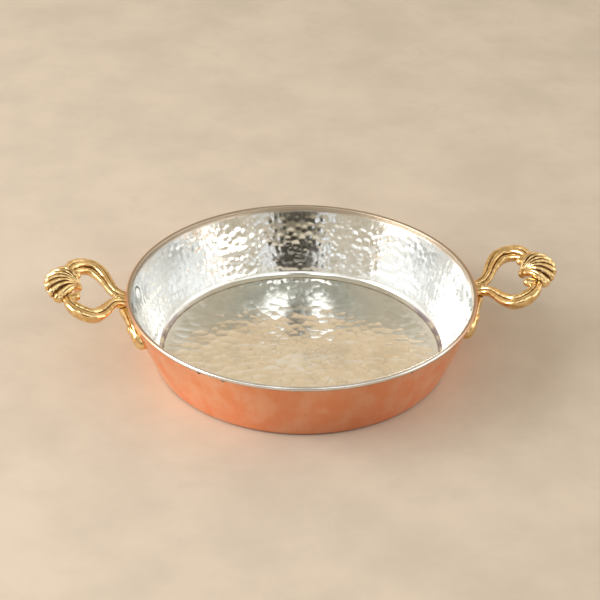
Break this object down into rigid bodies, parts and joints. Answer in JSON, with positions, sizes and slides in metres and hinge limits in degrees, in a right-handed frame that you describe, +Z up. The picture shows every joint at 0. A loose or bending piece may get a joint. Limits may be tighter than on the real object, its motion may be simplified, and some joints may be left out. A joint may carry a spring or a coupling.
{
  "type": "copper pan",
  "caption": "Round shallow copper pan with a tinned inside and sloping wall, with a brass loop handle riveted on each side, scrolled and ended in a shell.",
  "frame": {"origin": "centre of the flat underside, on the surface that the pan stands on", "axes": "+Z up along the pan's axis, the handles stand out along +X and -X"},
  "size_m": [0.2912, 0.2, 0.0571],
  "materials": {
    "copper": "satin",
    "tin": "hammered, wiped",
    "brass": "polished"
  },
  "bodies": {
    "root": {"pan_body": "copper", "tin_lining": "tin", "left_handle": "brass", "right_handle": "brass", "left_front_rivet": "brass", "left_rear_rivet": "brass", "right_front_rivet": "brass", "right_rear_rivet": "brass"}
  },
  "joints": []
}
